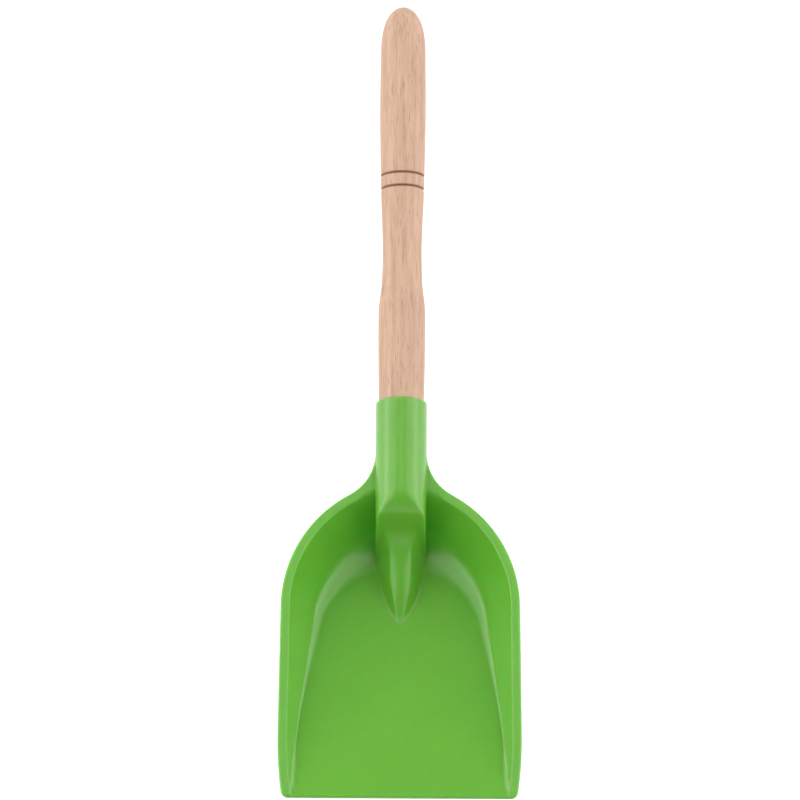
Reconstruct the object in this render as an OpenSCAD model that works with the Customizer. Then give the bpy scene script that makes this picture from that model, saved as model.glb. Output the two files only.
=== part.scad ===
// Sand shovel: a moulded blade with a round socket, on a turned wooden handle.
// It lies on its heel and the end of its handle, open side up, with the handle along +Y.
// The origin is under the middle of the shovel, on the surface it lies on.
//
// The blade is drawn in its own frame: x across, y back from the front edge along the floor,
// z up from the floor's upper face. The rim and the handle's axis lie in one plane, the rim plane,
// which rises from the front edge. Lengths called "along the axis" are measured in that plane.

/* [Blade] */
// Widest width of the blade
blade_w = 134; // [120:0.5:150]
// Width at the front edge, before the corners are rounded
front_w = 129.4; // [116:0.2:132]
// Distance from the front edge to the widest place
wide_at = 32; // [20:1:50]
// Width where the round shoulder starts
shoulder_w = 131.6; // [118:0.2:140]
// Distance from the front edge to the start of the shoulder
shoulder_at = 103.6; // [90:0.2:120]
// Radius of the shoulder, seen from above
shoulder_r = 69.8; // [66:0.2:76]
// Radius of the hollow curve from the shoulder into the socket
neck_r = 27; // [18:0.5:36]
// Radius of the two front corners
corner_r = 3.5; // [2:0.1:8]
// Thickness of the floor and the walls
sheet_t = 2.2; // [1.6:0.1:3]

/* [Rim and walls] */
// Angle between the floor and the rim plane
lift = 15; // [12:0.5:18]
// Slope of the walls from the rim plane
wall_slope = 65.5; // [58:0.5:72]
// Width of the flat lip round the rim
lip_w = 5; // [3.5:0.1:7]
// Thickness of the lip
lip_t = 2.6; // [2.2:0.1:4]
// Rounding of the lip's outer edge
edge_r = 1; // [0.4:0.05:1.1]
// Radius between floor and wall at the front corners
fillet_front = 1; // [0.6:0.1:3]
// Radius between floor and wall at the back
fillet_back = 20; // [12:0.5:26]
// Distance from the front edge at which the radius is full
fillet_full_at = 144; // [125:1:160]

/* [Tongue in front of the socket] */
// Distance from the front edge to the tongue's tip
tongue_tip = 110.3; // [100:0.1:118]
// Slope of the tongue's ridge from the floor
tongue_slope = 33; // [26:0.5:38]
// Radius of the ridge's crown at the tip
tip_crown_r = 3.4; // [3:0.1:5]
// Radius of the crown at the foot of the end wall
root_crown_r = 7.2; // [5:0.1:10]
// Slope of the tongue's flanks at the tip
tip_flank = 50; // [44:1:60]
// Slope of the flanks at the foot of the end wall
root_flank = 77; // [70:1:82]
// Slope of the sides that carry the socket
side_flank = 89; // [84:0.5:89.5]
// Distance from the front edge to the socket's end wall, at its top before rounding
end_wall_at = 152.8; // [146:0.2:160]
// Slope of the end wall
end_wall_slope = 80; // [74:1:84]
// Radius from the end wall into the ridge
end_wall_r = 32; // [20:0.5:38]
// Rounding from the end wall onto the top of the socket
nose_r = 16.5; // [10:0.5:20]

/* [Socket] */
// Outer diameter of the socket
socket_d = 28.1; // [26.5:0.1:31]
// Distance along the axis from the front edge to the socket's mouth
mouth_at = 223.6; // [205:0.2:240]
// Rounding of the mouth's outer edge
mouth_r = 1.2; // [0.4:0.1:1.3]
// Draft of the socket's bore, per side
bore_draft = 1.2; // [0.5:0.1:2]
// Gap all round between the tenon and the bore
tenon_gap = 0.12; // [0.05:0.01:0.25]
// Gap between the tenon's end and the bottom of the bore
end_gap = 1; // [0.5:0.1:3]

/* [Handle] */
// Overall length along the axis, from the front edge to the end of the handle
overall_len = 450; // [430:1:480]
// Length outside the socket for which the distances from the mouth below are given
drawn_len = 226.4; // [200:0.2:250]
// Diameter of the wood at the socket's mouth
mouth_d = 24.9; // [23:0.1:25.2]
// Length of the tenon in the socket
tenon_len = 48; // [30:0.5:49]
// Chamfer at the tenon's end
tenon_chamfer = 1.5; // [0.5:0.1:3]
// Diameter of the barrel above the socket
barrel_d = 25.9; // [25.3:0.1:28]
// Distance from the mouth to the barrel's widest place
barrel_at = 46; // [30:0.5:49]
// Distance from the mouth to the start of the shoulder above the barrel
step_from = 50.5; // [50:0.5:58]
// Distance from the mouth to the foot of that shoulder
step_to = 68.5; // [62:0.5:74]
// Diameter at the foot of the shoulder
step_d = 22.4; // [21.8:0.1:23.5]
// Diameter of the waist
waist_d = 21.5; // [20:0.1:21.7]
// Distance from the mouth to the waist
waist_at = 85; // [78:0.5:95]
// Diameter of the grip beside the rings
ring_land_d = 24.2; // [23:0.1:24.6]
// Distance from the mouth to the upper ring
ring_at = 128.9; // [122:0.1:134]
// Distance between the two rings
ring_pitch = 7.5; // [4:0.1:10]
// Width of a burnt ring
ring_w = 1.6; // [0.8:0.1:2.4]
// Depth of a burnt ring
ring_depth = 0.7; // [0.3:0.1:1.2]
// Diameter of the grip at its fullest
grip_d = 25.3; // [24.8:0.1:28]
// Distance from the mouth to the fullest place of the grip
grip_at = 168; // [155:0.5:180]
// Diameter where the rounded end starts
dome_d = 24.8; // [24:0.1:25.2]
// Length of the rounded end
dome_len = 31.4; // [20:0.2:38]

/* [Screw] */
// Distance from the mouth to the screw
screw_at = 12; // [8:0.5:20]
// Diameter of the screw's shank
screw_d = 3; // [2.5:0.1:3.5]
// Length of the screw, head included
screw_len = 14; // [10:0.5:16]
// Diameter of the countersunk head
screw_head_d = 6; // [5:0.1:6.6]
// Gap round the shank and the head
screw_gap = 0.1; // [0.05:0.01:0.2]

/* [Hidden] */
$fn = 96;
tiny = 0.01;
socket_r = socket_d / 2;

// Outline of the rim, seen square to the floor
shoulder_x = shoulder_w / 2 - shoulder_r;
neck_at = shoulder_at + sqrt(pow(shoulder_r + neck_r, 2) - pow(socket_r + neck_r - shoulder_x, 2));
neck_from = shoulder_at + (neck_at - shoulder_at) * shoulder_r / (shoulder_r + neck_r);

function rim_z(s) = s * tan(lift);

function side_half(s) = s < wide_at
    ? blade_w / 2 - (blade_w - front_w) / 2 * pow(1 - s / wide_at, 2)
    : (blade_w + (shoulder_w - blade_w) * (s - wide_at) / (shoulder_at - wide_at)) / 2;

function arc_drop(r, reach) = r - sqrt(max(0, r * r - reach * reach));

function outline_half(s) =
    s < corner_r ? side_half(s) - arc_drop(corner_r, corner_r - s)
    : s < shoulder_at ? side_half(s)
    : s < neck_from ? shoulder_x + sqrt(shoulder_r * shoulder_r - pow(s - shoulder_at, 2))
    : socket_r + arc_drop(neck_r, max(0, neck_at - s));

// How far a point lies inside the lip's inner edge
function inside_lip(x, s) = s < shoulder_at
    ? side_half(s) - lip_w - abs(x)
    : shoulder_r - lip_w - norm([s - shoulder_at, abs(x) - shoulder_x]);

// The walls have one slope from the rim plane, so from the floor they are steeper at the back
side_run = cos(lift) / tan(wall_slope);
back_gain = sin(lift) * cos(lift);
function wall_run(x, s) = side_run
    - (s < shoulder_at ? 0 : back_gain * (s - shoulder_at) / norm([s - shoulder_at, abs(x) - shoulder_x]));
function slope_of(run) = atan(1 / run);

// Floor that turns up into a wall: v is the distance outside the line where floor and wall would meet
function turned_up(v, r, run) =
    let (tangent = r * tan(slope_of(run) / 2))
    v <= -tangent ? 0
    : v >= tangent * cos(slope_of(run)) ? v / run
    : arc_drop(r, v + tangent);

function floor_fillet(s, run) =
    let (full = fillet_front + (fillet_back - fillet_front) * pow(min(1, s / fillet_full_at), 3))
    min(full, rim_z(s) * run / (tan(slope_of(run) / 2) * cos(slope_of(run))));

function pan_z(x, s, under) =
    let (run = wall_run(x, s))
    let (v = rim_z(s) * run - inside_lip(x, s) - under * sheet_t * tan(slope_of(run) / 2))
    let (wall_z = turned_up(v, floor_fillet(s, run) + under * sheet_t, run) - under * sheet_t)
    min(wall_z, rim_z(s) - under * lip_t);

// Tongue: a ridge that rises from the floor and turns up into the socket's end wall
end_wall_top = (end_wall_at + socket_r * sin(lift)) * tan(lift) + socket_r * cos(lift);
// The sheet's own end wall and flanks lie this far inside the socket, up to just above its axis
hidden_by = 0.8;
hidden_rise = 2;
wall_foot = end_wall_top - (end_wall_at + hidden_by) * tan(end_wall_slope);
bend_s = (end_wall_r / cos(tongue_slope) - end_wall_r / cos(end_wall_slope)
    - tongue_tip * tan(tongue_slope) - wall_foot) / (tan(end_wall_slope) - tan(tongue_slope));
bend_z = (bend_s - tongue_tip) * tan(tongue_slope) + end_wall_r / cos(tongue_slope);
bend_from = bend_s + end_wall_r * sin(tongue_slope);
wall_from = bend_s + end_wall_r * sin(end_wall_slope);
wall_to = wall_from + sheet_t;
// Behind this station the sheet has a slot for the bore, whose sides lie inside the socket's wall
slot_at = (mouth_at - tenon_len - end_gap) * cos(lift) - hidden_rise;

function ridge_z(s, under) =
    let (off = under * sheet_t)
    let (r = end_wall_r + off)
    let (rise = s < bend_s + r * sin(tongue_slope)
        ? (s - tongue_tip) * tan(tongue_slope) - off / cos(tongue_slope)
        : s < bend_s + r * sin(end_wall_slope)
        ? bend_z - r + arc_drop(r, s - bend_s)
        : wall_foot + s * tan(end_wall_slope) - off / cos(end_wall_slope))
    min(rise, rim_z(s) + hidden_rise - off);

// The section widens evenly along the tongue, and quickly up the end wall to the socket's
function share(from, to, s) = max(0, min(1, (s - from) / (to - from)));
function widened(tip, root, socket, s) =
    let (tongue = tip + (root - tip) * share(tongue_tip, wall_from, s))
    tongue + (socket - tongue) * share(wall_from, wall_to, s);
function crown_r(s) = widened(tip_crown_r, root_crown_r, socket_r - hidden_by, s);
function flank(s) = widened(tip_flank, root_flank, side_flank, s);

function crown_drop(x, r, slope) =
    let (turn = r * sin(slope))
    abs(x) < turn ? arc_drop(r, x) : r * (1 - cos(slope)) + (abs(x) - turn) * tan(slope);

function tongue_z(x, s, under) =
    ridge_z(s, under) - crown_drop(x, crown_r(s) - under * sheet_t, flank(s));

// Half width of the crown, and of the tongue where its flank meets the pan, at least a little more
flank_room = 0.3;
function crown_half(s) = crown_r(s) * sin(flank(s));
function tongue_half(s) =
    let (turn = crown_half(s))
    let (reach = (tongue_z(turn, s, 0) - pan_z(turn, s, 0)) / tan(flank(s)))
    turn + max(s > slot_at ? 0 : flank_room, reach);

// Sheet: upper and lower face over one grid of stations along the blade and columns across it
function edge_drop(x, s) =
    let (in = min(s, outline_half(s) - abs(x)))
    in >= edge_r ? 0 : arc_drop(edge_r, edge_r - max(0, in));

function sheet_z(x, s, under) =
    max(pan_z(x, s, under), tongue_z(x, s, under)) + (under ? 1 : -1) * edge_drop(x, s);

// The web ends where it stands this far out of the socket
web_step = 0.25;
web_end = neck_at - sqrt(2 * neck_r * web_step);
corner_steps = 5;
floor_steps = 10;
ridge_steps = 11;
bend_steps = 10;
wall_steps = 2;
arch_steps = 7;
neck_steps = 8;
slot_row = corner_steps + floor_steps + ridge_steps + bend_steps + wall_steps + arch_steps;

function steps(from, to, count) = [for (i = [0:count - 1]) from + (to - from) * i / count];

STATIONS = concat(
    [for (i = [0:corner_steps - 1]) corner_r * (1 - cos(90 * i / corner_steps))],
    steps(corner_r, tongue_tip, floor_steps),
    steps(tongue_tip, bend_from, ridge_steps),
    steps(bend_from, wall_from, bend_steps),
    steps(wall_from, wall_to, wall_steps),
    steps(wall_to, slot_at, arch_steps),
    steps(slot_at, web_end, neck_steps),
    [web_end]);

CROWN_SHARES = [0, 0.28, 0.55, 0.8, 1];
FLOOR_SHARES = [0, 0.35, 0.7];
fillet_columns = 5;
edge_share = 0.35;
least_share = 0.12;
least_gap = 2;
under_lip = (sheet_t / cos(wall_slope) - lip_t) * side_run;

// Half width at which a given distance inside the lip is reached
function half_inside(d, s) = s < shoulder_at
    ? side_half(s) - lip_w - d
    : shoulder_x + sqrt(max(0, pow(shoulder_r - lip_w - d, 2) - pow(s - shoulder_at, 2)));

// Columns follow the tongue, the floor, the fillet, the wall and the lip, from the middle outwards
function half_columns(s) =
    let (outer = outline_half(s))
    let (foot = min(tongue_half(s), outer - 2 * edge_r * edge_share))
    let (inner = max(half_inside(0, s), foot + (outer - foot) / 2))
    let (least = min(least_gap, (inner - foot) * least_share))
    let (run = wall_run(max(foot, half_inside(0, s)), s))
    let (slope = slope_of(run))
    let (crease = rim_z(s) * run)
    let (tangent = floor_fillet(s, run) * tan(slope / 2))
    let (floor_end = max(half_inside(crease + tangent, s), foot + least))
    let (fillet_to = half_inside(max(0, crease - tangent * cos(slope)), s))
    let (fillet_end = min(inner - 2 * least, max(fillet_to, floor_end + least)))
    let (floor_to = min(floor_end, fillet_end - least))
    let (wall_mid = min(fillet_end + sheet_t * sin(slope), inner - least))
    let (edge = min(edge_r, (outer - inner) / 2))
    concat(
        [for (f = CROWN_SHARES) crown_half(s) * f],
        [for (f = FLOOR_SHARES) foot + (floor_to - foot) * f],
        [for (k = [0:fillet_columns]) floor_to + (fillet_end - floor_to) * k / fillet_columns],
        [wall_mid, inner, min(inner + under_lip, (inner + outer - edge) / 2)],
        [outer - edge, outer - edge * edge_share, outer]);

function columns(s) =
    let (half = half_columns(s))
    concat([for (i = [len(half) - 1:-1:1]) -half[i]], half);

UPPER = [for (s = STATIONS) [for (x = columns(s)) [x, s, sheet_z(x, s, 0)]]];
LOWER = [for (s = STATIONS) [for (x = columns(s)) [x, s, sheet_z(x, s, 1)]]];

// Handle profile: [distance from the mouth, radius, slope of the radius], smooth between the rows
bore_r = mouth_d / 2 + tenon_gap;
handle_len = overall_len - mouth_at;
// A longer or shorter handle carries its turned features along in proportion
stretch = handle_len / drawn_len;
dome_run = dome_len * stretch;
dome_from = handle_len - dome_run;
RINGS = [ring_at * stretch - ring_pitch, ring_at * stretch];
land_slope = 0.013;
PROFILE_ROWS = [
    [0, mouth_d / 2, tan(bore_draft)],
    [barrel_at * stretch, barrel_d / 2, 0],
    [step_from * stretch, barrel_d / 2, 0],
    [step_to * stretch, step_d / 2, -0.05],
    [waist_at * stretch, waist_d / 2, 0],
    [ring_at * stretch, ring_land_d / 2, land_slope],
    [grip_at * stretch, grip_d / 2, 0],
    [dome_from, dome_d / 2, -0.012]];
row_steps = 9;
dome_steps = 14;

function eased(a, b, t) =
    let (run = b[0] - a[0])
    let (t2 = t * t)
    let (t3 = t2 * t)
    [a[0] + run * t, (2 * t3 - 3 * t2 + 1) * a[1] + (t3 - 2 * t2 + t) * run * a[2]
        + (3 * t2 - 2 * t3) * b[1] + (t3 - t2) * run * b[2]];

SMOOTH_TURNING = [for (i = [0:len(PROFILE_ROWS) - 2]) for (k = [0:row_steps - 1])
    eased(PROFILE_ROWS[i], PROFILE_ROWS[i + 1], k / row_steps)];

// The rounded end is blunter than a ball
DOME = [for (k = [0:dome_steps])
    let (t = sin(90 * k / dome_steps))
    [dome_from + dome_run * t, dome_d / 2 * sqrt(1 - pow(t, 3))]];

TURNING = concat(SMOOTH_TURNING, DOME);

// Lying down: the blade tips back until the handle's end touches the ground with the heel
function blade_low(tip) = min([for (row = LOWER) for (p = row) p.z * cos(tip) - p.y * sin(tip)]);
function handle_low(tip) =
    min([for (p = TURNING) (mouth_at + p[0]) * sin(lift - tip) - p[1] * cos(lift - tip)]);
function settle(low, high, rounds) =
    let (mid = (low + high) / 2)
    rounds == 0 ? mid
    : handle_low(mid) > blade_low(mid) ? settle(mid, high, rounds - 1)
    : settle(low, mid, rounds - 1);
rest_tip = settle(0, 45, 30);
rest_low = blade_low(rest_tip);
front_y = min([for (row = LOWER) for (p = row) p.y * cos(rest_tip) + p.z * sin(rest_tip)]);
back_y = max([for (p = TURNING)
    (mouth_at + p[0]) * cos(lift - rest_tip) + p[1] * abs(sin(lift - rest_tip))]);

module lying_down() {
    translate([0, -(front_y + back_y) / 2, -rest_low]) rotate([-rest_tip, 0, 0]) children();
}

// Along the socket's axis: z runs from the front edge to the handle's end, +y is the back of the shovel
module along_axis() { rotate([lift - 90, 0, 0]) children(); }

// Everything behind the socket's end wall
module behind_end_wall() {
    reach = overall_len;
    translate([0, end_wall_at, end_wall_top]) rotate([end_wall_slope - 90, 0, 0])
        translate([-reach / 2, 0, -reach / 2]) cube([reach, reach, reach]);
}

// What the rounded nose takes off the corner between the end wall and the top of the socket
module nose_cut() {
    corner = end_wall_slope - lift;
    tangent = nose_r * tan(corner / 2);
    width = 2 * socket_d;
    // A hair larger, the round crosses the wall and the top instead of only touching them
    hair = 0.05;
    translate([0, end_wall_at, end_wall_top]) rotate([lift, 0, 0]) difference() {
        translate([-width / 2, -tangent, -tangent * sin(corner)]) cube([width, 2 * tangent, nose_r]);
        translate([-width, tangent, -nose_r]) rotate([0, 90, 0]) cylinder(r = nose_r + hair, h = 2 * width);
    }
}

module sheet() {
    across = len(UPPER[0]);
    along = len(UPPER);
    count = across * along;
    middle = (across - 1) / 2;
    function up(i, j) = i * across + j;
    function low(i, j) = count + i * across + j;
    function split(a, b, c, d) = [[a, b, c], [a, c, d]];
    function in_slot(i, j) = i >= slot_row && abs(j + 0.5 - middle) < len(CROWN_SHARES);
    function filled(i, j) =
        i >= 0 && i < along - 1 && j >= 0 && j < across - 1 && !in_slot(i, j);
    faces = [for (i = [0:along - 2]) for (j = [0:across - 2]) if (filled(i, j)) each concat(
        split(up(i, j), up(i + 1, j), up(i + 1, j + 1), up(i, j + 1)),
        split(low(i, j), low(i, j + 1), low(i + 1, j + 1), low(i + 1, j)),
        filled(i, j - 1) ? [] : split(up(i, j), low(i, j), low(i + 1, j), up(i + 1, j)),
        filled(i, j + 1) ? []
            : split(up(i + 1, j + 1), low(i + 1, j + 1), low(i, j + 1), up(i, j + 1)),
        filled(i - 1, j) ? [] : split(up(i, j + 1), low(i, j + 1), low(i, j), up(i, j)),
        filled(i + 1, j) ? []
            : split(up(i + 1, j), low(i + 1, j), low(i + 1, j + 1), up(i + 1, j + 1)))];
    polyhedron(
        points = concat([for (row = UPPER) each row], [for (row = LOWER) each row]),
        faces = faces);
}

module socket_body() {
    difference() {
        intersection() {
            along_axis() rotate_extrude() polygon(concat(
                [[0, tongue_tip], [socket_r, tongue_tip]],
                [for (a = [0:15:90])
                    [socket_r - mouth_r + mouth_r * cos(a), mouth_at - mouth_r + mouth_r * sin(a)]],
                [[0, mouth_at]]));
            behind_end_wall();
        }
        nose_cut();
    }
}

module socket_bore() {
    depth = tenon_len + end_gap;
    along_axis() translate([0, 0, mouth_at - depth])
        cylinder(r1 = bore_r - depth * tan(bore_draft), r2 = bore_r + tiny, h = depth + tiny);
}

// Screw: its head lies in the back of the socket and its point is in the tenon
head_sink = 0.3;
head_seat = sqrt(pow(socket_r, 2) - pow(screw_head_d / 2, 2)) - head_sink;
head_h = (screw_head_d - screw_d) / 2;

module screw_shape(gap, clear_above) {
    r = screw_d / 2 + gap;
    head_r = screw_head_d / 2 + gap;
    along_axis() translate([0, head_seat, mouth_at - screw_at]) rotate([90, 0, 0]) rotate_extrude() polygon([
        [0, -clear_above], [head_r, -clear_above], [head_r, 0], [r, head_h],
        [r, screw_len - 2 * screw_d + gap], [0, screw_len + gap]]);
}

module scoop() {
    color("#66b030") lying_down() {
        sheet();
        difference() {
            socket_body();
            socket_bore();
            screw_shape(screw_gap, socket_r);
        }
    }
}

module handle() {
    color("#e2c09c") lying_down() difference() {
        along_axis() translate([0, 0, mouth_at]) rotate_extrude() handle_section();
        screw_shape(screw_gap, socket_r);
    }
}

module handle_section() {
    tenon_r = mouth_d / 2 - tenon_len * tan(bore_draft);
    difference() {
        polygon(concat(
            [[0, -tenon_len], [tenon_r - tenon_chamfer, -tenon_len], [tenon_r, tenon_chamfer - tenon_len]],
            [for (p = TURNING) [p[1], p[0]]]));
        for (at = RINGS)
            translate([ring_land_d / 2, at])
                polygon([[-ring_depth, 0], [ring_depth, -ring_w], [ring_depth, ring_w]]);
    }
}

module handle_screw() {
    color("silver") lying_down() screw_shape(0, 0);
}

scoop();
handle();
handle_screw();
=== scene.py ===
# %% [markdown]
# # Sand shovel
# A child's sand shovel has three pieces: a dished blade with a round socket, moulded in one from green
# plastic, a turned beech handle, and one small screw through the back of the socket. The CAD part fixes
# where everything is. This script makes each piece again as a fine mesh, gives it its finish and sets up
# a plain studio.

# %% Load the CAD part
from math import atan, cos, hypot, pi, radians, sin, sqrt, tan

import bmesh
import bpy
from mathutils import Matrix, Vector


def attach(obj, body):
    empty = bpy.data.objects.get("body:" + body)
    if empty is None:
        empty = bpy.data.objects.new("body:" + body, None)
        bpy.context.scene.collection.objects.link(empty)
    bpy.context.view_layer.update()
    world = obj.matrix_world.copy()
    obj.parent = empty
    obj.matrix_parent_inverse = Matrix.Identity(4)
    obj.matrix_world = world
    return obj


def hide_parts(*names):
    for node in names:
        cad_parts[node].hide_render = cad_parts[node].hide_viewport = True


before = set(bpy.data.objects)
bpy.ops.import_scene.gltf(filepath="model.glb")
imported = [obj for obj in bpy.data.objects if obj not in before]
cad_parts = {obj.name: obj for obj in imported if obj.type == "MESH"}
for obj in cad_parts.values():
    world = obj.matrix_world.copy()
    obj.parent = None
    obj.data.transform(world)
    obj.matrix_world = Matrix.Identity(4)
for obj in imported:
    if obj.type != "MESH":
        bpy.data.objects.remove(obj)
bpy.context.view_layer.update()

# %% [markdown]
# ## Two frames on the shovel
# The blade is easiest to describe flat: x across, s back from the front edge along the floor, z up from the
# floor. The rim and the handle share one plane that rises from the front edge by `lift`. On the ground the
# shovel tips back by `rest_tip`, until heel and handle end touch. One matrix carries the blade's frame
# to its place, and one carries a frame whose z axis is the handle's axis. Both work in millimetres.

# %% Matrices for the blade and for the handle's axis
lift = radians(15)
rest_tip = radians(20.3985)
front_edge = Vector((0, -223.7139, 52.495))


def frame_at(along):
    """Matrix from millimetres to metres: x across, z along the given direction, y square to both."""
    back = along.cross(Vector((1, 0, 0)))
    turn = Matrix((Vector((1, 0, 0)), back, along)).transposed().to_4x4()
    return Matrix.Scale(0.001, 4) @ Matrix.Translation(front_edge) @ turn


floor_normal = Vector((0, sin(rest_tip), cos(rest_tip)))
BLADE = frame_at(floor_normal)
AXIS = frame_at(Vector((0, cos(rest_tip - lift), -sin(rest_tip - lift))))
print("front edge at", [round(v, 4) for v in BLADE.translation])
print("100 mm up the handle at", [round(v, 4) for v in AXIS @ Vector((0, 0, 100))])

# %% [markdown]
# ## The blade's form
# The moulding is one sheet about 2 mm thick. From the middle outwards a cut across it shows the tongue in
# front of the socket, the floor, a fillet that grows towards the heel, a wall and a flat lip. Each
# surface is a height over the floor, so the whole sheet is two height functions, one for the upper face and
# one for the underside. Where two surfaces meet, a soft maximum or minimum leaves the small radius that
# a mould has there.

# %% Sizes of the blade's outline, walls and lip
blade_w, front_w, wide_at = 134.0, 129.4, 32.0
shoulder_w, shoulder_at, shoulder_r = 131.6, 103.6, 69.8
neck_r, corner_r, sheet_t = 27.0, 3.5, 2.2
wall_slope = radians(65.5)
lip_w, lip_t, edge_r = 5.0, 2.6, 1.0
fillet_front, fillet_back, fillet_full_at = 1.0, 20.0, 144.0
socket_r, mouth_at = 14.05, 223.6
shoulder_x = shoulder_w / 2 - shoulder_r
side_run, back_gain = cos(lift) / tan(wall_slope), sin(lift) * cos(lift)
neck_at = shoulder_at + sqrt((shoulder_r + neck_r) ** 2 - (socket_r + neck_r - shoulder_x) ** 2)
neck_from = shoulder_at + (neck_at - shoulder_at) * shoulder_r / (shoulder_r + neck_r)
lip_blend = 0.8


def soft_max(a, b, blend):
    near = max(blend - abs(a - b), 0) / blend
    return max(a, b) + near * near * blend / 4


def soft_min(a, b, blend):
    return -soft_max(-a, -b, blend)


def arc_drop(r, reach):
    return r - sqrt(max(0, r * r - reach * reach))


def rim_z(s):
    return s * tan(lift)


def side_half(s):
    if s < wide_at:
        return blade_w / 2 - (blade_w - front_w) / 2 * (1 - s / wide_at) ** 2
    return (blade_w + (shoulder_w - blade_w) * (s - wide_at) / (shoulder_at - wide_at)) / 2


def outline_half(s):
    if s < corner_r:
        return side_half(s) - arc_drop(corner_r, corner_r - s)
    if s < shoulder_at:
        return side_half(s)
    if s < neck_from:
        return shoulder_x + sqrt(shoulder_r ** 2 - (s - shoulder_at) ** 2)
    return socket_r + arc_drop(neck_r, max(0, neck_at - s))


def inside_lip(x, s):
    """How far a point lies inside the lip's inner edge."""
    if s < shoulder_at:
        return side_half(s) - lip_w - abs(x)
    return shoulder_r - lip_w - hypot(s - shoulder_at, abs(x) - shoulder_x)


def wall_run(x, s):
    """Run of the wall for its rise. Its slope from the rim plane is one, so at the back it is steeper."""
    if s < shoulder_at:
        return side_run
    return side_run - back_gain * (s - shoulder_at) / hypot(s - shoulder_at, abs(x) - shoulder_x)


def floor_fillet(s, run):
    slope = atan(1 / run)
    full = fillet_front + (fillet_back - fillet_front) * min(1, s / fillet_full_at) ** 3
    return min(full, rim_z(s) * run / (tan(slope / 2) * cos(slope)))


def pan_z(x, s, under):
    """Floor, fillet, wall and lip. A cut past the crease of floor and wall rises with the wall's slope."""
    run = wall_run(x, s)
    slope = atan(1 / run)
    past = rim_z(s) * run - inside_lip(x, s) - under * sheet_t * tan(slope / 2)
    r = floor_fillet(s, run) + under * sheet_t
    tangent = r * tan(slope / 2)
    if past <= -tangent:
        rise = 0
    elif past >= tangent * cos(slope):
        rise = past / run
    else:
        rise = arc_drop(r, past + tangent)
    return soft_min(rise - under * sheet_t, rim_z(s) - under * lip_t, lip_blend)


for s in (20, 80, 140):
    print(f"{s} mm back: half width {outline_half(s):.1f} mm, rim {rim_z(s):.1f} mm above the floor")

# %% [markdown]
# ## Tongue and socket
# In front of the socket a tongue runs down into the floor. Its ridge is a straight slope that bends up into
# the socket's end wall, and a large radius, the nose, takes the wall over onto the top of the socket.
# Across, the tongue has a flat round crown between steep flanks. Towards the end wall the crown widens to
# the socket's width, so the flanks run on into the straight sides under the socket. The tongue is hollow
# below, as a moulding has to be, and the socket's lower half closes the hollow off at the back.

# %% Sizes of the tongue, and its height over the floor
tongue_tip, tongue_slope = 110.3, radians(33)
crown_r, crown_half, tip_half, tip_spread = 9.5, 6.05, 1.6, 0.225
tip_flank, mid_flank, side_flank = radians(55), radians(70.5), radians(89)
mid_at, root_from = tongue_tip + 20, tongue_tip + 33
root_bend, root_flat = 1.5, 0.9
end_wall_at, end_wall_slope, end_wall_r, nose_r = 152.8, radians(80), 32.0, 16.5
foot_blend, edge_blend, nose_blend, under_blend = 2.4, 1.2, 5.0, 2.0
least_blend, below = 0.4, -50.0
axis_rise = socket_r / cos(lift)
end_wall_top = rim_z(end_wall_at) + axis_rise
nose_tangent = nose_r * tan((end_wall_slope - lift) / 2)
nose_s = end_wall_at + nose_tangent * cos(lift) + nose_r * sin(lift)
nose_z = end_wall_top + nose_tangent * sin(lift) - nose_r * cos(lift)
nose_from, nose_to = nose_s - nose_r * sin(end_wall_slope), nose_s - nose_r * sin(lift)
wall_foot = end_wall_top - end_wall_at * tan(end_wall_slope)
bend_s = ((end_wall_r / cos(tongue_slope) - end_wall_r / cos(end_wall_slope)
           - tongue_tip * tan(tongue_slope) - wall_foot) / (tan(end_wall_slope) - tan(tongue_slope)))
bend_z = (bend_s - tongue_tip) * tan(tongue_slope) + end_wall_r / cos(tongue_slope)
wall_low = end_wall_at - end_wall_top / tan(end_wall_slope)
wall_from = bend_s + end_wall_r * sin(end_wall_slope)
ridge_rise, hollow_rise = 2.0, 6.0
side_front, side_back, web_from = 13.35, 14.04, shoulder_at + shoulder_r - lip_w


def ridge_z(s, under):
    off = under * sheet_t
    r = end_wall_r + off
    if s < bend_s + r * sin(tongue_slope):
        rise = (s - tongue_tip) * tan(tongue_slope) - off / cos(tongue_slope)
    elif s < bend_s + r * sin(end_wall_slope):
        rise = bend_z - r + arc_drop(r, s - bend_s)
    else:
        rise = wall_foot + s * tan(end_wall_slope) - off / cos(end_wall_slope)
    return min(rise, rim_z(s) + (hollow_rise if under else ridge_rise))


def part_way(start, end, s):
    return max(0, min(1, (s - start) / (end - start)))


def section(s, under):
    """Half width of the crown, its radius and the flanks' slope, which suit the socket at the end wall."""
    root = part_way(root_from, end_wall_at, s)
    crown = min(crown_half, tip_half + tip_spread * max(0, s - tongue_tip))
    half = max(least_blend, crown - under * sheet_t)
    half += (side_front - under * sheet_t - half) * root ** root_bend
    slope = tip_flank + (mid_flank - tip_flank) * part_way(tongue_tip, mid_at, s)
    return half, crown_r / (1 - root_flat * root), slope + (side_flank - slope) * root


def tongue_z(x, s, under):
    """A flat round crown between two steep flanks."""
    half, r, slope = section(s, under)
    top = ridge_z(s, under)
    flank = top - arc_drop(r, half) - (abs(x) - half) * tan(slope)
    return soft_min(top - arc_drop(r, x), flank, edge_blend)


def end_wall_z(s):
    """The end wall, and the radius that takes it onto the top of the socket."""
    if s < nose_from:
        return wall_foot + s * tan(end_wall_slope)
    if s < nose_to:
        return nose_z + sqrt(nose_r ** 2 - (nose_s - s) ** 2)
    return rim_z(s) + 2 * axis_rise


def side_width(s):
    """Half width of the straight sides under the socket, which come in a little towards the end wall."""
    return side_front + (side_back - side_front) * part_way(nose_from, web_from, s)


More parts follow.
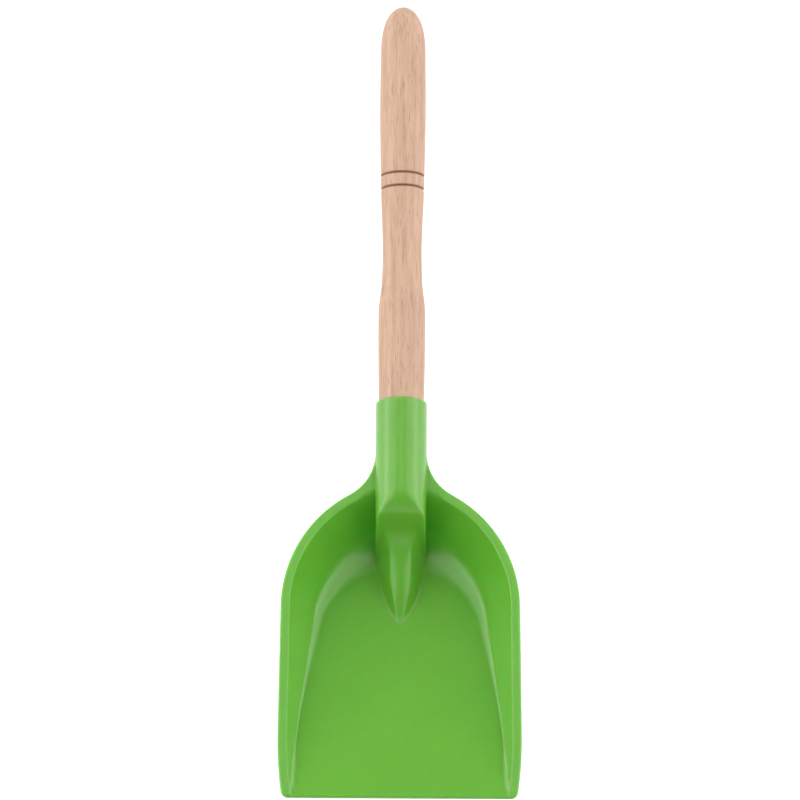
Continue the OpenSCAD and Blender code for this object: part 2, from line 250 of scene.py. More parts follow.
def socket_z(x, s):
    """The socket's upper half with its straight sides, behind the end wall."""
    if s < wall_from:
        return below
    across = min(abs(x), side_width(s))
    side_drop = (abs(x) - across) * tan(side_flank)
    round_top = rim_z(s) + axis_rise * sqrt(1 - (across / socket_r) ** 2) - side_drop
    return soft_min(round_top, end_wall_z(s), least_blend + nose_blend * (across / socket_r) ** 2)


def upper_z(x, s):
    ridge = soft_max(tongue_z(x, s, 0), socket_z(x, s), foot_blend)
    return soft_max(pan_z(x, s, 0), ridge, foot_blend)


def under_z(x, s):
    sheet = soft_max(pan_z(x, s, 1), tongue_z(x, s, 1), foot_blend)
    if s < tongue_tip or abs(x) >= socket_r:
        return sheet
    return soft_min(sheet, rim_z(s) - axis_rise * sqrt(1 - (x / socket_r) ** 2), under_blend)


for s in (112, 124, 136, 152, 168):
    print(f"{s} mm back: ridge {upper_z(0, s):.1f} mm above the floor, hollow {under_z(0, s):.1f} mm")

# %% [markdown]
# ## Columns and stations
# The sheet starts as a flat grid. Its columns are laid where the form changes: round the crown, down the
# flank, over the floor, round the fillet, up the wall and across the lip. Its stations are close together
# at the front corners, at the tongue's tip and round the end wall. A grid laid like this needs few faces
# and leaves no saw teeth along the edges.

# %% Columns across the blade and stations along it
crown_steps, flank_steps, floor_steps, fillet_steps = 10, 4, 5, 8
crown_even, crown_last, turn_steps = 0.9, 0.96, (0.2, 0.5)
foot_shares, foot_room, foot_tuck = (-0.45, 0, 0.5), 1.1, 0.8
side_room, lip_room, edge_shares = 0.4, 0.4, (1, 0.6, 0.25, 0.05)
least_share, least_gap = 0.04, 0.01
web_step = 0.25
web_end = neck_at - sqrt(2 * neck_r * web_step)


def spread(start, end, count):
    """Places after start, up to and with end."""
    return [start + (end - start) * (k + 1) / count for k in range(count)]


def half_inside(d, s):
    """Half width at which a given distance inside the lip is reached."""
    if s < shoulder_at:
        return side_half(s) - lip_w - d
    return shoulder_x + sqrt(max(0, (shoulder_r - lip_w - d) ** 2 - (s - shoulder_at) ** 2))


def tongue_foot(s, under):
    """Half width of the crown and of the flanks' foot, and the width of the foot's radius."""
    turn, _, slope = section(s, under)
    height = tongue_z(turn, s, under) - pan_z(turn, s, under)
    foot = turn + max(0, height) / tan(slope)
    behind = part_way(wall_low, nose_from, s) * (1 - under)
    return (turn + (side_width(s) - turn) * behind, foot + (side_width(s) + side_room - foot) * behind,
            foot_blend / tan(slope) * (1 - foot_tuck * behind))


def half_columns(s, under):
    """Places of the columns from the middle to the outline."""
    outer = outline_half(s)
    turn, foot, soft = tongue_foot(s, under)
    floor_from = foot + foot_room * soft
    inner = max(half_inside(0, s), floor_from + (outer - floor_from) / 2)
    least = least_share * (inner - floor_from)
    run = wall_run(max(floor_from, half_inside(0, s)), s)
    wall = atan(1 / run)
    crease = rim_z(s) * run
    tangent = floor_fillet(s, run) * tan(wall / 2)
    fillet_to = half_inside(max(0, crease - tangent * cos(wall)), s) + under * sheet_t * sin(wall)
    floor_end = max(half_inside(crease + tangent, s), floor_from + least)
    fillet_end = min(max(fillet_to, floor_end + least), inner - 2 * least)
    floor_end = min(floor_end, fillet_end - least)
    lip_from = inner + under * (sheet_t / cos(wall_slope) - lip_t) * side_run / 2
    edge = min(edge_r, (outer - inner) / 2)
    places = [0] + spread(0, crown_even * turn, crown_steps) + [crown_last * turn, turn]
    places += [turn + step for step in turn_steps]
    places += spread(places[-1], foot - soft, flank_steps)
    places += [foot + share * soft for share in foot_shares] + [floor_from]
    places += spread(floor_from, floor_end, floor_steps) + spread(floor_end, fillet_end, fillet_steps)
    places += [(fillet_end + lip_from) / 2, lip_from - lip_room, lip_from, lip_from + lip_room]
    places += [(lip_from + outer) / 2] + [outer - share * edge for share in edge_shares] + [outer]
    for k in range(1, len(places)):
        places[k] = max(places[k], places[k - 1] + least_gap)
    places[-1] = outer
    for k in range(len(places) - 2, -1, -1):
        places[k] = min(places[k], places[k + 1] - least_gap)
    places[0] = 0.0
    return places


tip_zone, bend_from = 6, bend_s + end_wall_r * sin(tongue_slope)
stretches = [(tongue_tip - tip_zone, 14), (tongue_tip + tip_zone, 12), (bend_from, 14), (wall_low, 8),
             (nose_from, 14), (nose_to, 16), (web_end, 12)]
stations = [0, 0.05, 0.25, 0.6, 1, 1.6, 2.5, corner_r]
for stretch_end, count in stretches:
    stations += spread(stations[-1], stretch_end, count)
half_count = len(half_columns(stations[-1], 0)) - 1
print(f"{len(stations)} stations, {2 * half_count + 1} columns")

# %% [markdown]
# ## Pressing the sheet
# Each vertex of a flat grid moves to its column and station on the upper face, and a second grid does
# the same for the underside. Behind the web the columns run straight back along the socket, whose two
# halves meet at the level of its axis. Bridging the open edges closes the rim.

# %% Rows of points for the two faces
mouth_r, weld = 1.2, 0.001
tube_shares = (0.04, 0.1, 0.3, 0.6, 0.9, 1)


def edge_drop(x, s):
    inside = min(s, outline_half(s) - x)
    return 0 if inside >= edge_r else arc_drop(edge_r, edge_r - max(0, inside))


def on_socket(x, share, under):
    """A point of the socket behind the web: share 0 is at the web's end, share 1 at the rounded mouth."""
    sine = min(1, x / socket_r)
    up = (-1 if under else 1) * socket_r * sqrt(1 - sine * sine)
    web_u = (web_end + up * sin(lift)) / cos(lift)
    u = web_u + (mouth_at - mouth_r - web_u) * share
    return socket_r * sine, u * cos(lift) - up * sin(lift), u * sin(lift) + up * cos(lift)


def sheet_rows(under):
    rows = []
    for s in stations:
        heights = [(x, under_z(x, s) + edge_drop(x, s) if under else upper_z(x, s) - edge_drop(x, s))
                   for x in half_columns(s, under)]
        rows.append([(x, s, z) for x, z in heights])
    ends = [x for x, _, _ in rows[-1]]
    rows += [[on_socket(x, share, under) for x in ends] for share in tube_shares]
    return rows


scoop_mesh = bmesh.new()
mouth = set()
for under in (0, 1):
    rows = sheet_rows(under)
    last = len(rows) - 1
    grid = bmesh.ops.create_grid(scoop_mesh, x_segments=2 * half_count, y_segments=last, size=1)
    for vert in grid["verts"]:
        column, row = round(vert.co.x * half_count), round((vert.co.y + 1) / 2 * last)
        x, s, z = rows[row][abs(column)]
        vert.co = (x if column > 0 else -x, s, z)
        if row == last:
            mouth.add(vert)
open_edges = [e for e in scoop_mesh.edges if e.is_boundary and not mouth.issuperset(e.verts)]
bmesh.ops.bridge_loops(scoop_mesh, edges=open_edges)
bmesh.ops.remove_doubles(scoop_mesh, verts=scoop_mesh.verts, dist=weld)
ring = [e for e in scoop_mesh.edges if e.is_boundary]
print(f"{len(scoop_mesh.faces)} faces, open edges left at the mouth: {len(ring)}")

# %% [markdown]
# ## Mouth and bore
# The mouth's edge is extruded over a small radius and down the bore, ring after ring. The bore tapers a
# little, as a core has to, and its bottom is closed.

# %% Extrude the mouth and the bore
bore_r, bore_depth, bore_draft = 12.57, 49.0, tan(radians(1.2))
bore_end, bore_end_r = mouth_at - bore_depth, bore_r - bore_depth * bore_draft
bore_edge, edge_mid, edge_run = 0.25, 0.075, 1.0
end_step, end_share = 1.0, 0.4
mouth_angles = [radians(angle) for angle in (22.5, 45, 67.5, 90)]
rings = [(socket_r - mouth_r * (1 - cos(a)), mouth_at - mouth_r * (1 - sin(a))) for a in mouth_angles]
rings += [(bore_r + bore_edge, mouth_at), (bore_r + edge_mid, mouth_at - edge_mid)]
rings += [(bore_r, mouth_at - bore_edge), (bore_r, mouth_at - edge_run)]
rings += [(bore_end_r, bore_end + end_step), (bore_end_r, bore_end)]
rings += [(bore_end_r - end_step, bore_end), (end_share * bore_end_r, bore_end)]
to_axis = Matrix.Rotation(pi / 2 - lift, 3, "X")
for r, u in rings:
    made = bmesh.ops.extrude_edge_only(scoop_mesh, edges=ring)
    for vert in made["geom"]:
        if isinstance(vert, bmesh.types.BMVert):
            across = to_axis @ vert.co
            outward = Vector((across.x, across.y, 0)).normalized()
            vert.co = to_axis.inverted() @ (outward * r + Vector((0, 0, u)))
    ring = [e for e in scoop_mesh.edges if e.is_boundary]
bmesh.ops.edgeloop_fill(scoop_mesh, edges=ring)
bmesh.ops.recalc_face_normals(scoop_mesh, faces=scoop_mesh.faces)
print("mouth ring radius", round(hypot(*(to_axis @ ring[0].verts[0].co).xy), 2), "mm at the bore's bottom")

# %% [markdown]
# ## From mesh to piece
# A piece takes the place of its CAD node and rides on the shovel's one body. One level of subdivision
# rounds the scoop's facets off.

# %% Make the scoop
def make_piece(name, mesh, place, node, levels):
    """Carries a mesh in millimetres to its place and lets it stand for a CAD node."""
    bmesh.ops.transform(mesh, matrix=place, verts=mesh.verts)
    data = bpy.data.meshes.new(name)
    mesh.to_mesh(data)
    mesh.free()
    data.shade_smooth()
    piece = bpy.data.objects.new(name, data)
    bpy.context.scene.collection.objects.link(piece)
    if levels:
        rounding = piece.modifiers.new("rounding", "SUBSURF")
        rounding.levels = rounding.render_levels = levels
    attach(piece, "root")
    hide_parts(node)
    print(f"{name}: {len(data.polygons)} faces, {[round(1000 * d, 1) for d in piece.dimensions]} mm")
    return piece


scoop = make_piece("green_scoop", scoop_mesh, BLADE, "scoop", 1)

# %% [markdown]
# ## Shared surface effects
# No moulded, sanded or plated surface is perfectly even. One node group gives a soft mottling at two
# scales, which shifts colour and roughness a little, and one gives a fine relief. All three finishes use
# them, each with its own scale, on object coordinates in metres.

# %% Node helpers and two node groups
def add_node(tree, kind, **values):
    """Adds a node and sets its properties and its inputs by name."""
    made = tree.nodes.new(kind)
    for name, value in values.items():
        if hasattr(made, name):
            setattr(made, name, value)
        else:
            made.inputs[name.replace("_", " ")].default_value = value
    return made


def math_node(tree, operation, first, second):
    made = tree.nodes.new("ShaderNodeMath")
    made.operation = operation
    for socket, value in zip(made.inputs, (first, second)):
        if isinstance(value, (int, float)):
            socket.default_value = value
        else:
            tree.links.new(value, socket)
    return made.outputs[0]


def new_group(name, inputs, output, kind):
    tree = bpy.data.node_groups.new(name, "ShaderNodeTree")
    for label, socket in inputs:
        tree.interface.new_socket(label, in_out="INPUT", socket_type=socket)
    tree.interface.new_socket(output, in_out="OUTPUT", socket_type=kind)
    return tree, add_node(tree, "NodeGroupInput"), add_node(tree, "NodeGroupOutput")


MOTTLE, given, result = new_group(
    "mottle", [("Vector", "NodeSocketVector"), ("Scale", "NodeSocketFloat")], "Value", "NodeSocketFloat")
broad = add_node(MOTTLE, "ShaderNodeTexNoise", Detail=2.0)
fine = add_node(MOTTLE, "ShaderNodeTexNoise", Detail=3.0)
for noise in (broad, fine):
    MOTTLE.links.new(given.outputs["Vector"], noise.inputs["Vector"])
MOTTLE.links.new(given.outputs["Scale"], broad.inputs["Scale"])
fine_scale, broad_share, fine_share = 9, 0.65, 0.35
MOTTLE.links.new(math_node(MOTTLE, "MULTIPLY", given.outputs["Scale"], fine_scale), fine.inputs["Scale"])
both = math_node(MOTTLE, "ADD", math_node(MOTTLE, "MULTIPLY", broad.outputs[0], broad_share),
                 math_node(MOTTLE, "MULTIPLY", fine.outputs[0], fine_share))
MOTTLE.links.new(both, result.inputs["Value"])

RELIEF, given, result = new_group(
    "relief", [("Vector", "NodeSocketVector"), ("Scale", "NodeSocketFloat"), ("Depth", "NodeSocketFloat")],
    "Normal", "NodeSocketVector")
grain = add_node(RELIEF, "ShaderNodeTexNoise", Detail=3.0)
bump = add_node(RELIEF, "ShaderNodeBump", Strength=1.0)
RELIEF.links.new(given.outputs["Vector"], grain.inputs["Vector"])
RELIEF.links.new(given.outputs["Scale"], grain.inputs["Scale"])
RELIEF.links.new(grain.outputs[0], bump.inputs["Height"])
RELIEF.links.new(given.outputs["Depth"], bump.inputs["Distance"])
RELIEF.links.new(bump.outputs["Normal"], result.inputs["Normal"])


def new_material(name):
    """A material with one shader, and the object coordinates to feed it."""
    material = bpy.data.materials.new(name)
    material.use_nodes = True
    tree = material.node_tree
    place = add_node(tree, "ShaderNodeTexCoord").outputs["Object"]
    return material, tree, tree.nodes["Principled BSDF"], place


def use_group(tree, group, vector, **values):
    made = tree.nodes.new("ShaderNodeGroup")
    made.node_tree = group
    tree.links.new(vector, made.inputs["Vector"])
    for name, value in values.items():
        made.inputs[name].default_value = value
    return made.outputs[0]


def ramp(tree, value, low, high, low_out, high_out):
    """Maps a value from one range to another, held at both ends."""
    made = add_node(tree, "ShaderNodeMapRange", From_Min=low, From_Max=high,
                    To_Min=low_out, To_Max=high_out)
    tree.links.new(value, made.inputs["Value"])
    return made.outputs[0]


def mix_colours(tree, share, first, second):
    """Mixes two colours, given as sockets or as linear values."""
    made = add_node(tree, "ShaderNodeMix", data_type="RGBA")
    tree.links.new(share, made.inputs[0])
    for socket, colour in ((made.inputs[6], first), (made.inputs[7], second)):
        if isinstance(colour, tuple):
            socket.default_value = (*colour, 1)
        else:
            tree.links.new(colour, socket)
    return made.outputs[2]


print("groups:", [group.name for group in bpy.data.node_groups])

# %% [markdown]
# ## Green plastic
# The blade is polypropylene, coloured right through, with the half gloss of a polished mould. Light goes a
# few millimetres into it, and green further than red, so shaded places stay green. The shader's subsurface
# part does that. The colour drifts a very little where the melt has flowed, and the mould leaves a fine
# grain that only shows where a light's edge is mirrored.

# %% Finish of the scoop
plastic, tree, shader, place = new_material("green_plastic")
flow = use_group(tree, MOTTLE, place, Scale=40)
green_deep, green_light = (0.155, 0.462, 0.042), (0.163, 0.478, 0.044)
green = mix_colours(tree, ramp(tree, flow, 0.35, 0.65, 0, 1), green_deep, green_light)
tree.links.new(green, shader.inputs["Base Color"])
tree.links.new(ramp(tree, flow, 0.3, 0.7, 0.24, 0.27), shader.inputs["Roughness"])
tree.links.new(use_group(tree, RELIEF, place, Scale=900, Depth=0.0000008), shader.inputs["Normal"])
shader.inputs["IOR"].default_value = 1.5
shader.inputs["Specular IOR Level"].default_value = 0.72
shader.inputs["Subsurface Weight"].default_value = 0.9
shader.inputs["Subsurface Radius"].default_value = (0.05, 1.0, 0.9)
shader.inputs["Subsurface Scale"].default_value = 0.005
scoop.data.materials.append(plastic)
print("scoop:", [material.name for material in scoop.data.materials])

# %% [markdown]
# ## Handle
# The handle is turned from one length of beech, so one profile spun round the axis makes it. A barrel
# above the socket steps down to a waist, and the grip swells to a blunt round end. The profile is a row of
# places with a radius and a slope, joined by cubic curves. Two burnt rings are V grooves. The
# tapered tenon is in the socket.

# %% Profile of the handle
overall_len, tenon_len, tenon_chamfer = 450.0, 48.0, 1.5
handle_len = overall_len - mouth_at
dome_len, dome_r = 31.4, 12.4
dome_from = handle_len - dome_len
ring_places, ring_w, ring_depth = (121.4, 128.9), 1.1, 0.6
ring_round, ring_blend = 0.15, 0.2
turned = [(0, 12.45, bore_draft), (46, 12.95, 0), (50.5, 12.95, 0), (68.5, 11.2, -0.05),
          (85, 10.75, 0), (128.9, 12.1, 0.013), (168, 12.65, 0), (dome_from, dome_r, -0.012)]


def turned_r(at):
    """Radius of the wood at a distance from the mouth, without the rings."""
    for (a, ra, sa), (b, rb, sb) in zip(turned, turned[1:]):
        if at <= b:
            run = b - a
            t = (at - a) / run
            return ((2 * t ** 3 - 3 * t * t + 1) * ra + (t ** 3 - 2 * t * t + t) * run * sa
                    + (3 * t * t - 2 * t ** 3) * rb + (t ** 3 - t * t) * run * sb)
    return dome_r


def groove(at):
    """Depth of the burnt rings, a V with a rounded bottom."""
    near = min(abs(at - ring) for ring in ring_places)
    return max(0, ring_depth * (1 - soft_max(near, ring_round, ring_blend) / ring_w))


turned_steps, dome_steps, dome_power = 150, 24, 3
ring_steps, ring_step = 12, 0.1
even = [handle_len * k / turned_steps for k in range(turned_steps)]
places = [at for at in even if at < dome_from]
places += [ring + k * ring_step for ring in ring_places for k in range(-ring_steps, ring_steps + 1)]
profile = [(turned_r(at) - groove(at), mouth_at + at) for at in sorted(places)]
for k in range(dome_steps + 1):
    t = sin(pi / 2 * k / dome_steps)
    profile.append((dome_r * sqrt(1 - t ** dome_power), mouth_at + dome_from + dome_len * t))
tenon_end, tenon_r = mouth_at - tenon_len, profile[0][0] - tenon_len * bore_draft
tenon = [(0, tenon_end), (tenon_r - tenon_chamfer, tenon_end), (tenon_r, tenon_end + tenon_chamfer)]
profile = tenon + profile
print(f"{len(profile)} places on the profile, widest {2 * max(r for r, _ in profile):.1f} mm")

# %% Spin the handle
spin_steps = 96


def spun(profile):
    """A solid of revolution round z from places of radius and height."""
    mesh = bmesh.new()
    verts = [mesh.verts.new((r, 0, z)) for r, z in profile]
    edges = [mesh.edges.new(pair) for pair in zip(verts, verts[1:])]
    bmesh.ops.spin(mesh, geom=verts + edges, cent=(0, 0, 0), axis=(0, 0, 1), angle=2 * pi,
                   steps=spin_steps, use_merge=True)
    bmesh.ops.remove_doubles(mesh, verts=mesh.verts, dist=weld)
    bmesh.ops.recalc_face_normals(mesh, faces=mesh.faces)
    return mesh


handle = make_piece("beech_handle", spun(profile), AXIS, "handle", 0)

# %% [markdown]
# ## Beech
# Beech is a pale, pinkish wood with faint growth layers and many short dark flecks along the grain.
# The pattern runs along the handle, so the coordinates are turned to its axis first, and drawn out along
# it. Streaks and flecks are noise, and the growth layers are bands that a second noise bends. The rings are
# burnt in, darkest in the groove.

# %% Finish of the handle
beech, tree, shader, place = new_material("beech")
turn = add_node(tree, "ShaderNodeMapping")
turn.inputs["Rotation"].default_value = (pi / 2 + rest_tip - lift, 0, 0)
turn.inputs["Location"].default_value = AXIS.inverted() @ Vector((0, 0, 0)) * 0.001
tree.links.new(place, turn.inputs["Vector"])
grain_place = turn.outputs["Vector"]
stretched = add_node(tree, "ShaderNodeMapping")
stretched.inputs["Scale"].default_value = (1, 1, 0.09)
tree.links.new(grain_place, stretched.inputs["Vector"])
streaks = add_node(tree, "ShaderNodeTexNoise", Scale=420.0, Detail=4.0, Roughness=0.6)
tree.links.new(stretched.outputs["Vector"], streaks.inputs["Vector"])
flecks = add_node(tree, "ShaderNodeTexNoise", Scale=1300.0, Detail=2.0)
tree.links.new(stretched.outputs["Vector"], flecks.inputs["Vector"])
layers = add_node(tree, "ShaderNodeTexWave", Scale=60.0, Distortion=3.0, Detail=2.0, wave_type="BANDS",
                  bands_direction="X")
layers.inputs["Detail Scale"].default_value = 0.6
tree.links.new(stretched.outputs["Vector"], layers.inputs["Vector"])
streak_deep, streak_light, layer_pale = (0.53, 0.335, 0.232), (0.66, 0.445, 0.318), (0.72, 0.49, 0.36)
fleck_brown, burnt_brown = (0.36, 0.20, 0.12), (0.17, 0.063, 0.024)
burnt_core, burnt_end = 0.0003, 0.0010
wood = mix_colours(tree, ramp(tree, streaks.outputs[0], 0.35, 0.65, 0, 1), streak_deep, streak_light)
wood = mix_colours(tree, ramp(tree, layers.outputs["Fac"], 0.2, 0.9, 0, 0.35), wood, layer_pale)
wood = mix_colours(tree, ramp(tree, flecks.outputs[0], 0.57, 0.68, 0, 0.5), wood, fleck_brown)
along = add_node(tree, "ShaderNodeSeparateXYZ")
tree.links.new(grain_place, along.inputs[0])
burnt = None
for ring in ring_places:
    off = math_node(tree, "SUBTRACT", along.outputs["Z"], (mouth_at + ring) / 1000)
    mark = ramp(tree, math_node(tree, "ABSOLUTE", off, 0), burnt_core, burnt_end, 1, 0)
    burnt = mark if burnt is None else math_node(tree, "MAXIMUM", burnt, mark)
tree.links.new(mix_colours(tree, burnt, wood, burnt_brown), shader.inputs["Base Color"])
tree.links.new(ramp(tree, streaks.outputs[0], 0.3, 0.7, 0.48, 0.60), shader.inputs["Roughness"])
pores = use_group(tree, RELIEF, stretched.outputs["Vector"], Scale=1500, Depth=0.00004)
tree.links.new(pores, shader.inputs["Normal"])
handle.data.materials.append(beech)
print("grain axis offset:", [round(v, 4) for v in turn.inputs["Location"].default_value])

# %% [markdown]
# ## Screw
# One small countersunk wood screw holds the tenon. The photograph doesn't show it, so its place is the
# usual one, in the middle of the socket's back. The head starts as a grid drawn out to a round. The cross
# recess is pressed into it, and its edge is extruded down the cone, the shank and the point.

# %% Mesh of the screw
screw_at, screw_len, head_sink = 12.0, 14.0, 0.3
head_r, shank_r, point_r, tip_r = 3.0, 1.5, 1.1, 0.15
head_edge, cone_end, shank_end, point_end = 0.15, 1.6, screw_len - 6, screw_len - 3
cells, cross_half, cross_reach, cross_taper, cross_depth = 10, 0.5, 1.9, 0.75, 1.1
head_seat = sqrt(socket_r ** 2 - head_r ** 2) - head_sink


def extrude_rings(mesh, rings):
    """Extrudes the open edge of a disc through rings of a radius and a depth, and closes the end."""
    edge = [e for e in mesh.edges if e.is_boundary]
    for r, depth in rings:
        made = bmesh.ops.extrude_edge_only(mesh, edges=edge)
        for vert in made["geom"]:
            if isinstance(vert, bmesh.types.BMVert):
                vert.co = Vector((vert.co.x, vert.co.y, 0)).normalized() * r + Vector((0, 0, depth))
        edge = [e for e in mesh.edges if e.is_boundary]
    bmesh.ops.edgeloop_fill(mesh, edges=edge)
    bmesh.ops.recalc_face_normals(mesh, faces=mesh.faces)


screw_mesh = bmesh.new()
bmesh.ops.create_grid(screw_mesh, x_segments=cells, y_segments=cells, size=head_r)
for vert in screw_mesh.verts:
    reach = max(abs(vert.co.x), abs(vert.co.y))
    if reach > weld:
        vert.co *= reach / vert.co.length
middles = [(face, face.calc_center_median()) for face in screw_mesh.faces]
cross = [face for face, at in middles
         if min(abs(at.x), abs(at.y)) < cross_half and at.length < cross_reach]
pressed = bmesh.ops.extrude_face_region(screw_mesh, geom=cross)
bmesh.ops.delete(screw_mesh, geom=cross, context="FACES")
recess = [g for g in pressed["geom"] if isinstance(g, bmesh.types.BMVert)]
bmesh.ops.scale(screw_mesh, vec=(cross_taper, cross_taper, 1), verts=recess)
bmesh.ops.translate(screw_mesh, vec=(0, 0, cross_depth), verts=recess)
extrude_rings(screw_mesh, [(head_r, head_edge), (shank_r, cone_end), (shank_r, shank_end),
                           (point_r, point_end), (tip_r, screw_len)])
SCREW = AXIS @ Matrix.Translation((0, head_seat, mouth_at - screw_at)) @ Matrix.Rotation(pi / 2, 4, "X")
screw = make_piece("zinc_screw", screw_mesh, SCREW, "handle_screw", 0)

# %% [markdown]
# ## Hole for the screw
# The screw lies in a countersunk hole that is a hair wider than itself and runs through the socket's wall
# into the tenon. Rows of faces round it would complicate the whole grid, so a turned shape is made like the
# screw and cut out of both pieces with a Boolean modifier. The result is kept as the mesh. Corners that the
# cut leaves all but on top of each other are merged, or the meshes would not be quite closed.

# %% Take the hole out of the scoop and the handle
screw_gap, hole_above, hole_sides, hole_tip_r, hole_weld = 0.1, 3.0, 63, 0.3, 0.000002
hole_mesh = bmesh.new()
bmesh.ops.create_circle(hole_mesh, cap_ends=True, segments=hole_sides, radius=head_r + screw_gap)
bmesh.ops.translate(hole_mesh, vec=(0, 0, -hole_above), verts=hole_mesh.verts)
extrude_rings(hole_mesh, [(head_r + screw_gap, head_edge), (shank_r + screw_gap, cone_end + screw_gap / 2),
                          (shank_r + screw_gap, shank_end), (hole_tip_r, screw_len + screw_gap)])
bmesh.ops.transform(hole_mesh, matrix=SCREW, verts=hole_mesh.verts)
hole_data = bpy.data.meshes.new("screw_hole")
hole_mesh.to_mesh(hole_data)
hole_mesh.free()
hole = bpy.data.objects.new("screw_hole", hole_data)
bpy.context.scene.collection.objects.link(hole)
for piece in (scoop, handle):
    piece.modifiers.new("screw_hole", "BOOLEAN").object = hole
    bpy.context.view_layer.update()
    bored = bpy.data.meshes.new_from_object(piece.evaluated_get(bpy.context.evaluated_depsgraph_get()))
    piece.modifiers.clear()
    whole, piece.data = piece.data, bored
    bpy.data.meshes.remove(whole)
    bored.name = piece.name
    cleaned = bmesh.new()
    cleaned.from_mesh(bored)
    bmesh.ops.remove_doubles(cleaned, verts=cleaned.verts, dist=hole_weld)
    cleaned.to_mesh(bored)
    cleaned.free()
    print(f"{piece.name} with its hole: {len(bored.polygons)} faces")
bpy.data.meshes.remove(hole_data)

# %% [markdown]
# ## Zinc plating
# A plated screw is bluish grey with a faint mottled sheen. The mottling shifts both colour and roughness.

# %% Finish of the screw
zinc, tree, shader, place = new_material("zinc_steel")
sheen = use_group(tree, MOTTLE, place, Scale=600)
grey = mix_colours(tree, ramp(tree, sheen, 0.35, 0.65, 0, 1), (0.46, 0.47, 0.49), (0.60, 0.61, 0.62))
tree.links.new(grey, shader.inputs["Base Color"])
tree.links.new(ramp(tree, sheen, 0.3, 0.7, 0.28, 0.42), shader.inputs["Roughness"])
tree.links.new(use_group(tree, RELIEF, place, Scale=4000, Depth=0.000008), shader.inputs["Normal"])
shader.inputs["Metallic"].default_value = 1.0
screw.data.materials.append(zinc)
print("screw:", [material.name for material in screw.data.materials])

# %% [markdown]
# ## Studio
# The photograph has a white ground and two large soft lights, one on each side, with darkness round the
# camera: the plastic mirrors two pale bands with a darker gap between them. Two tall soft panels stand
# left and right of the blade, two low ones further out light the sides, and a small one above lights the
# floor of the blade. The world is white at the horizon and dim overhead, and gives an even light besides.
# The floor is pale and brightens to the camera, so it comes out white and keeps a faint shadow.

# %% Floor
floor_half, floor_white, floor_rough, floor_glow = 8, 0.80, 0.9, 0.60
floor_mesh = bmesh.new()
bmesh.ops.create_grid(floor_mesh, x_segments=1, y_segments=1, size=floor_half)
floor_data = bpy.data.meshes.new("floor")
floor_mesh.to_mesh(floor_data)
floor_mesh.free()
floor = bpy.data.objects.new("floor", floor_data)
bpy.context.scene.collection.objects.link(floor)


def seen_directly(tree):
    """One for rays from the camera, from gloss and through glass."""
    path = add_node(tree, "ShaderNodeLightPath")
    seen = math_node(tree, "MAXIMUM", path.outputs["Is Camera Ray"], path.outputs["Is Glossy Ray"])
    return math_node(tree, "MAXIMUM", seen, path.outputs["Is Transmission Ray"])


paper, tree, shader, _ = new_material("white_floor")
shader.inputs["Base Color"].default_value = (floor_white, floor_white, floor_white, 1)
shader.inputs["Roughness"].default_value = floor_rough
shader.inputs["Specular IOR Level"].default_value = 0.0
shader.inputs["Emission Color"].default_value = (1, 1, 1, 1)
glow = math_node(tree, "MULTIPLY", seen_directly(tree), floor_glow)
tree.links.new(glow, shader.inputs["Emission Strength"])
floor_data.materials.append(paper)
print("floor:", floor_data.materials[0].name)

# %% World
sky_from, sky_to, sky_top, ambient = 0.1, 0.7, 0.15, 0.36
world = bpy.data.worlds.new("studio")
bpy.context.scene.world = world
world.use_nodes = True
tree = world.node_tree
height = add_node(tree, "ShaderNodeSeparateXYZ")
tree.links.new(add_node(tree, "ShaderNodeTexCoord").outputs["Generated"], height.inputs[0])
sky = ramp(tree, height.outputs["Z"], sky_from, sky_to, 1, sky_top)
level = add_node(tree, "ShaderNodeMix")
tree.links.new(seen_directly(tree), level.inputs[0])
level.inputs[2].default_value = ambient
tree.links.new(sky, level.inputs[3])
tree.links.new(level.outputs[0], tree.nodes["Background"].inputs["Strength"])
tree.nodes["Background"].inputs["Color"].default_value = (1, 1, 1, 1)
print("world:", world.name)

# %% Lights
camera_tilt = radians(30)
view_up = (BLADE.to_3x3() @ Vector((0, cos(camera_tilt), sin(camera_tilt)))).normalized()
view_back = (BLADE.to_3x3() @ Vector((0, -sin(camera_tilt), cos(camera_tilt)))).normalized()
panel_out, panel_long, panel_high, panel_from = 0.8, 2.5, 1.96, -0.42
panel_lean = radians(14)
low_out, low_up, low_long, low_high = 1.2, 0.1, 1.6, 0.6
top_size, top_radiance, top_height = 0.9, 0.95, 2.2
light_tint = (1, 0.95, 0.92)
blade_middle = BLADE @ Vector((0, 140, 10))


def soft_light(name, wide, high, radiance, place, turn):
    """A rectangular lamp of a given brightness, whatever its size."""
    light = bpy.data.lights.new(name, "AREA")
    light.shape = "RECTANGLE"
    light.size, light.size_y = wide, high
    light.energy = radiance * pi * wide * high
    light.color = light_tint
    lamp = bpy.data.objects.new(name, light)
    bpy.context.scene.collection.objects.link(lamp)
    lamp.matrix_world = Matrix.Translation(place) @ turn.transposed().to_4x4()
    lamp.visible_camera = False
    return lamp


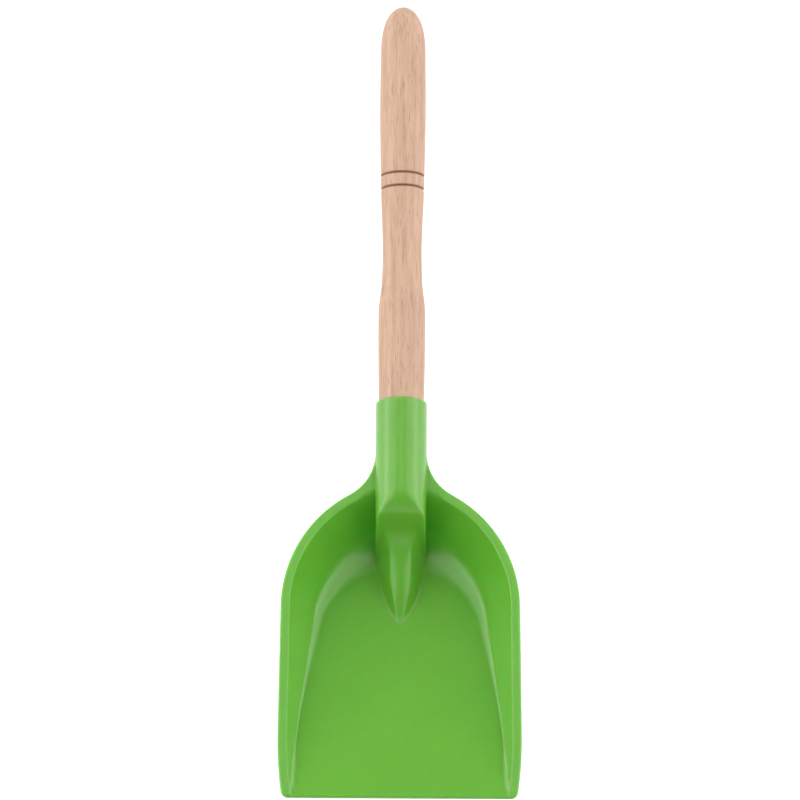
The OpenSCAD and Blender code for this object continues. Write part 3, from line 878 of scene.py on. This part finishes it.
def side_panel(name, side, radiance):
    along = view_up * cos(panel_lean) - view_back * sin(panel_lean)
    upright = view_back * cos(panel_lean) + view_up * sin(panel_lean)
    up = panel_from + panel_long / 2
    middle = Vector((side * panel_out, 0, 0)) + view_up * up + view_back * panel_high / 2
    turn = Matrix((along, upright * -side, Vector((side, 0, 0))))
    return soft_light(name, panel_long, panel_high, radiance, blade_middle + middle, turn)


def low_panel(name, side, radiance):
    middle = Vector((side * low_out, 0, 0)) + view_up * low_up + view_back * low_high / 2
    turn = Matrix((view_up, view_back * -side, Vector((side, 0, 0))))
    return soft_light(name, low_long, low_high, radiance, blade_middle + middle, turn)


left = side_panel("left_panel", -1, 1.32)
right = side_panel("right_panel", 1, 1.24)
top_turn = Matrix((Vector((1, 0, 0)), floor_normal.cross(Vector((1, 0, 0))), floor_normal))
top_at = blade_middle + floor_normal * top_height
soft_light("top_panel", top_size, top_size, top_radiance, top_at, top_turn)
low_panel("low_left", -1, 1.1)
low_panel("low_right", 1, 0.95)
print("panels at", [round(v, 2) for v in left.location], [round(v, 2) for v in right.location])

# %% [markdown]
# ## Camera
# The photograph was taken with a long lens, so parallels stay parallel, and from in front of the blade: the
# end wall and the socket's nose both show. The camera stands far off, 30 degrees in front of the floor's
# normal, and its lens follows from the width of the picture at the blade. The shovel leans a third of a
# degree to the right in the picture.

# %% Camera
distance, picture_w = 10.0, 0.4402
lean = radians(0.30)
aim = BLADE @ Vector((-0.8, 213.0, 65.8))
camera_data = bpy.data.cameras.new("camera")
camera_data.sensor_width = 36
camera_data.lens = camera_data.sensor_width * distance / picture_w
camera = bpy.data.objects.new("camera", camera_data)
bpy.context.scene.collection.objects.link(camera)
across = Vector((cos(lean), 0, 0)) + view_up * sin(lean)
upward = view_up * cos(lean) - Vector((sin(lean), 0, 0))
camera.matrix_world = (Matrix.Translation(aim + view_back * distance)
                       @ Matrix((across, upward, view_back)).transposed().to_4x4())
bpy.context.scene.camera = camera
bpy.context.scene.view_settings.view_transform = "Standard"
print("lens", round(camera_data.lens), "mm")
